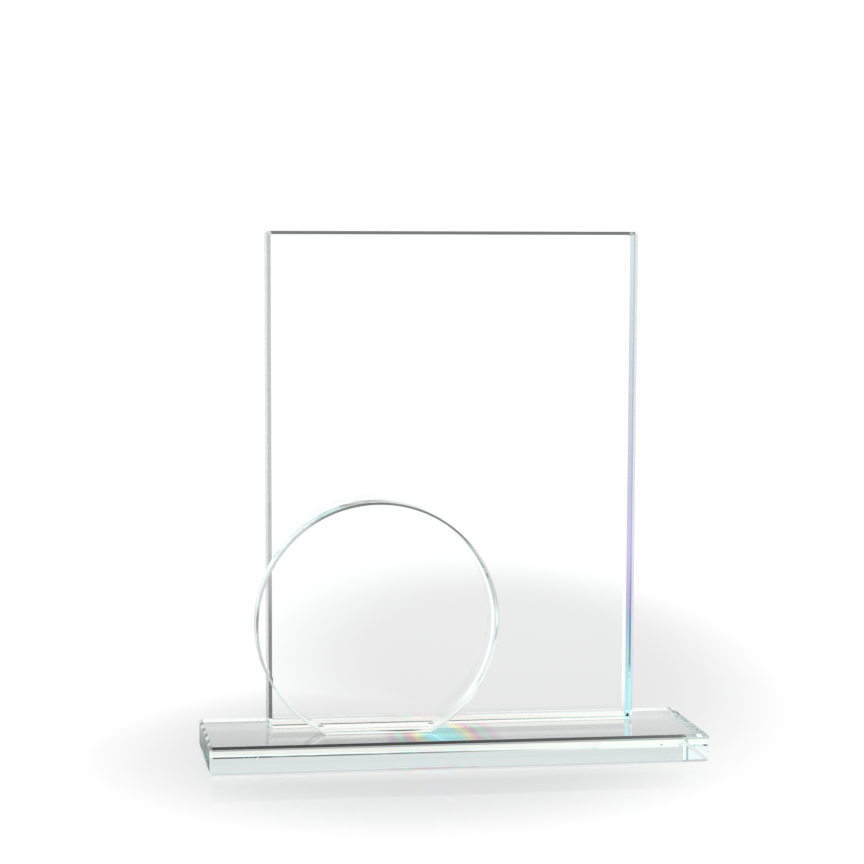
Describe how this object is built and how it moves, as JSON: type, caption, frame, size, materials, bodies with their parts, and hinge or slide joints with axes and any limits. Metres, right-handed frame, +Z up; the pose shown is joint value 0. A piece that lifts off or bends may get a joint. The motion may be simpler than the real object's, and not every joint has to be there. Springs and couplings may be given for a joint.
{
  "type": "crystal award",
  "caption": "Clear glass award: a tall rectangular plate and a smaller round disc with a flat foot, standing on a low rectangular glass base slab.",
  "frame": {"origin": "middle of the base slab's underside, where the award rests", "axes": "+Z up; +X to the award's right as seen from the front, along the slab's length; +Y towards the back, so the disc stands in front of the plate at lower Y"},
  "size_m": [0.2, 0.06, 0.2107],
  "materials": {
    "base_glass": "clear glass with a faint blue-green body tint, polished faces and polished chamfers",
    "plate_glass": "clear glass, polished faces and polished chamfers",
    "disc_glass": "clear glass, polished faces, polished rim and chamfers",
    "cured_adhesive": "thin film of clear cured adhesive"
  },
  "bodies": {
    "root": {"base_slab": "base_glass", "back_plate": "plate_glass", "front_disc": "disc_glass", "plate_bond_film": "cured_adhesive", "disc_bond_film": "cured_adhesive"}
  },
  "joints": []
}
